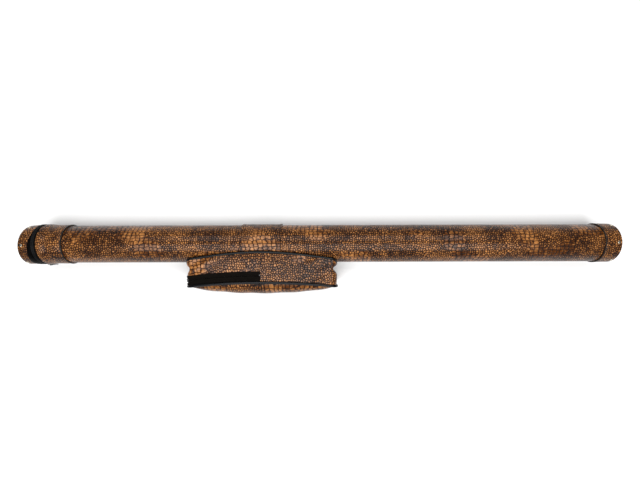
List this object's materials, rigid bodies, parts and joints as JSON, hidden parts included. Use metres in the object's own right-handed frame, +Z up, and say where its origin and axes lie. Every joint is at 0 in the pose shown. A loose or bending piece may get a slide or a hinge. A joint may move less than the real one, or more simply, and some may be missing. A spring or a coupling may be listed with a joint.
{
  "type": "cue case",
  "caption": "Leather-covered tube case for a cue, with a hinged zipped lid, a studded end cap and a zipped accessory pouch on its side.",
  "frame": {"origin": "middle of the case's footprint, on the surface it lies on", "axes": "+X along the tube from the lid to the base, +Y away from the pouch, +Z up"},
  "size_m": [1.184, 0.1432, 0.0826],
  "materials": {
    "brown_leather": "satin",
    "tube_board": "matte",
    "black_edging": "satin",
    "bright_stud": "polished",
    "black_piping": "gloss",
    "zip_tape": "matte",
    "zip_coil": "satin",
    "slider_metal": "satin",
    "lining_cloth": "matte",
    "foam": "matte"
  },
  "bodies": {
    "case": {"tube_core": "tube_board", "tube_cover": "brown_leather", "mouth_trim": "black_edging", "foam_core": "foam", "butt_channel_liner": "lining_cloth", "shaft_channel_liner": "lining_cloth", "extension_channel_liner": "lining_cloth", "base_pad": "lining_cloth", "base_plug": "tube_board", "base_cap_cover": "brown_leather", "base_end_disc": "brown_leather", "base_edging": "black_edging", "base_studs": "bright_stud", "collar_cover": "brown_leather", "collar_edging": "black_edging", "pouch_sleeve": "brown_leather", "pouch_sleeve_hems": "brown_leather", "lid_zip_case_tape": "zip_tape", "lid_zip_case_coil": "zip_coil", "lid_hinge_strip": "black_edging", "lid_zip_end_stops": "zip_coil", "pouch_gusset_right": "brown_leather", "pouch_gusset_left": "brown_leather", "pouch_front_right": "brown_leather", "pouch_lining": "lining_cloth", "pouch_zip_body_coil": "zip_coil", "pouch_zip_body_tape": "zip_tape", "pouch_front_piping_right": "black_piping", "pouch_back_piping": "black_piping", "pouch_back_panel": "brown_leather", "pouch_zip_end_stops": "zip_coil"},
    "lid": {"lid_shell": "tube_board", "lid_cover": "brown_leather", "lid_end_disc": "brown_leather", "lid_binding": "black_edging", "lid_studs": "bright_stud", "lid_pad": "lining_cloth", "lid_zip_lid_tape": "zip_tape", "lid_zip_lid_coil": "zip_coil", "lid_hinge_strip_lid_half": "black_edging"},
    "lid_lower_slider": {"lid_zip_lower_slider": "slider_metal"},
    "lid_lower_pull": {"lid_zip_lower_pull": "slider_metal"},
    "lid_upper_slider": {"lid_zip_upper_slider": "slider_metal"},
    "lid_upper_pull": {"lid_zip_upper_pull": "slider_metal"},
    "pouch_flap": {"pouch_front_flap": "brown_leather", "pouch_flap_piping": "black_piping", "pouch_zip_flap_tape": "zip_tape", "pouch_zip_flap_coil": "zip_coil", "pouch_flap_lining": "lining_cloth"},
    "pouch_slider": {"pouch_zip_slider": "slider_metal"},
    "pouch_pull": {"pouch_zip_pull": "slider_metal"}
  },
  "joints": [
    {"name": "lid_hinge", "type": "hinge", "parent": "case", "child": "lid", "pos_m": [-0.5615, 0.0715, 0.0413], "axis": [0, 0, -1], "range_deg": [0, 150]},
    {"name": "lid_lower_zip", "type": "hinge", "parent": "case", "child": "lid_lower_slider", "pos_m": [0, 0.03035, 0.0413], "axis": [1, 0, 0], "range_deg": [0, 100]},
    {"name": "lid_upper_zip", "type": "hinge", "parent": "case", "child": "lid_upper_slider", "pos_m": [0, 0.03035, 0.0413], "axis": [-1, 0, 0], "range_deg": [0, 150]},
    {"name": "lid_lower_pull_swing", "type": "hinge", "parent": "lid_lower_slider", "child": "lid_lower_pull", "pos_m": [-0.5615, -0.00638, 0.01744], "axis": [1, 0, 0], "range_deg": [-45, 30]},
    {"name": "lid_upper_pull_swing", "type": "hinge", "parent": "lid_upper_slider", "child": "lid_upper_pull", "pos_m": [-0.5615, -0.01196, 0.02996], "axis": [1, 0, 0], "range_deg": [-155, 12]},
    {"name": "pouch_flap_fold", "type": "hinge", "parent": "case", "child": "pouch_flap", "pos_m": [-0.117, -0.07195, 0.0413], "axis": [0, 0, 1], "range_deg": [0, 75]},
    {"name": "pouch_zip_run", "type": "hinge", "parent": "case", "child": "pouch_slider", "pos_m": [-0.117, -0.32816, 0.51829], "axis": [0, 0.8672, 0.498], "range_deg": [0, 6.5]},
    {"name": "pouch_pull_swing", "type": "hinge", "parent": "pouch_slider", "child": "pouch_pull", "pos_m": [-0.13308, -0.03397, 0.00202], "axis": [0.0148, -0.9982, 0.0579], "range_deg": [-170, 0]}
  ]
}
